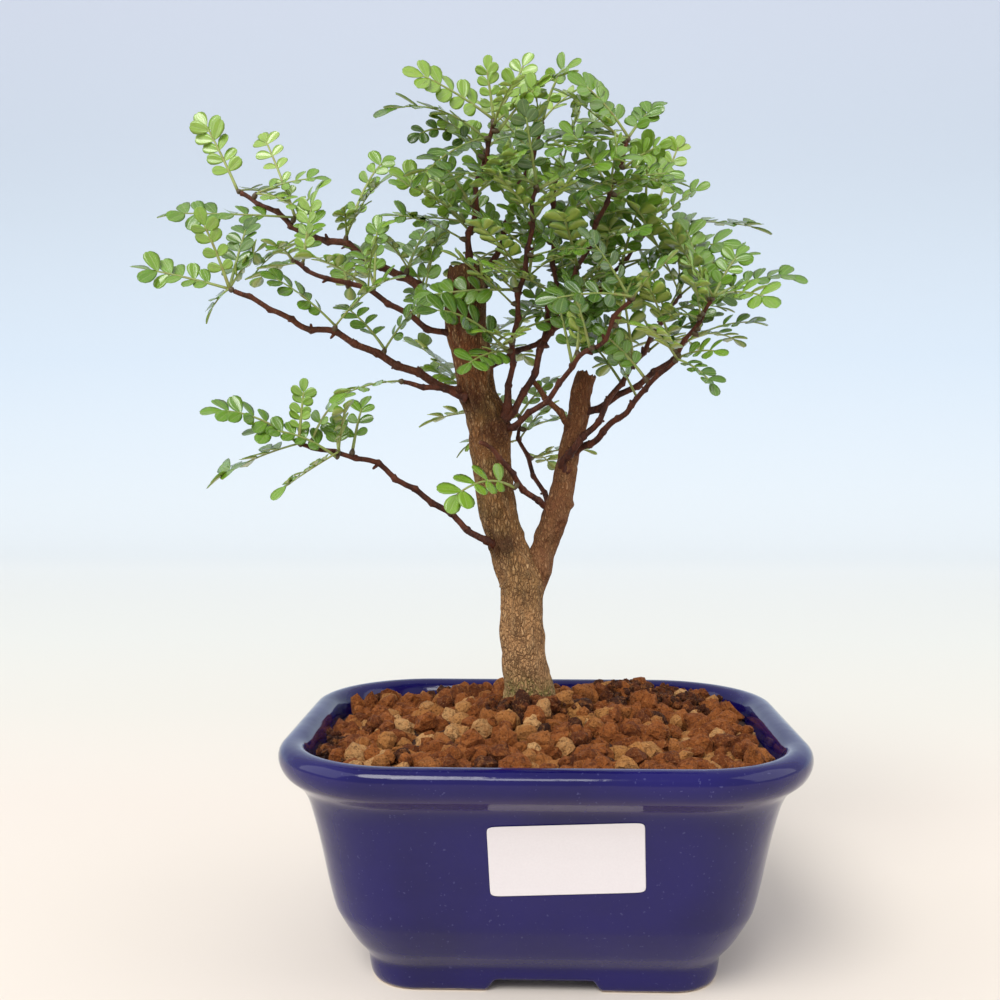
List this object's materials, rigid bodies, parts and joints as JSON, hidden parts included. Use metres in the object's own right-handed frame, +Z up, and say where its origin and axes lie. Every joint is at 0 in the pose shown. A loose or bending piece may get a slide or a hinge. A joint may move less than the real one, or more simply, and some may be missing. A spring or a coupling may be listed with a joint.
{
  "type": "potted bonsai tree",
  "caption": "Small forked pepper tree trained as a bonsai, with sprays of compound leaves, in a blue glazed rounded rectangular pot filled with grainy soil.",
  "frame": {"origin": "bottom centre of the whole object's bounding box, in the plane that the pot's foot stands on", "axes": "+Z up, +X to the right of the pot's front, +Y from the front to the back; the label is on the -Y face"},
  "size_m": [0.234, 0.1438, 0.3189],
  "materials": {
    "glaze": "deep glossy cobalt blue glaze",
    "soil": "dry rust-brown porous grains",
    "bark": "matt grey-brown bark",
    "leaf": "leathery green leaves with a soft gloss",
    "label": "smooth white paper, blank"
  },
  "bodies": {
    "root": {"pot": "glaze", "soil": "soil", "tree": "bark", "leaves_a_tip": "leaf", "leaves_a_mid": "leaf", "leaves_a_up": "leaf", "leaves_b_tip": "leaf", "leaves_b_mid": "leaf", "leaves_b_in": "leaf", "leaves_b2": "leaf", "leaves_c_tip": "leaf", "leaves_c_tip2": "leaf", "leaves_c_mid": "leaf", "leaves_c_in": "leaf", "leaves_c_back": "leaf", "leaves_d_tip": "leaf", "leaves_d_mid": "leaf", "leaves_f1": "leaf", "leaves_f1_mid": "leaf", "leaves_f1_low": "leaf", "leaves_f2": "leaf", "leaves_f2_mid": "leaf", "leaves_e1": "leaf", "leaves_e1_mid": "leaf", "leaves_g1": "leaf", "leaves_g1_mid": "leaf", "leaves_e2": "leaf", "leaves_e2_mid": "leaf", "leaves_e5": "leaf", "leaves_e5_mid": "leaf", "leaves_h2": "leaf", "leaves_h2_mid": "leaf", "leaves_e3": "leaf", "leaves_h1": "leaf", "leaves_h1_mid": "leaf", "leaves_h3": "leaf", "leaves_h3_mid": "leaf", "leaves_i1": "leaf", "leaves_i1_low": "leaf", "leaves_i2": "leaf", "leaves_n": "leaf", "leaves_n_top": "leaf", "leaves_back_a": "leaf", "leaves_back_b": "leaf", "leaves_back_c": "leaf", "label": "label"}
  },
  "joints": []
}
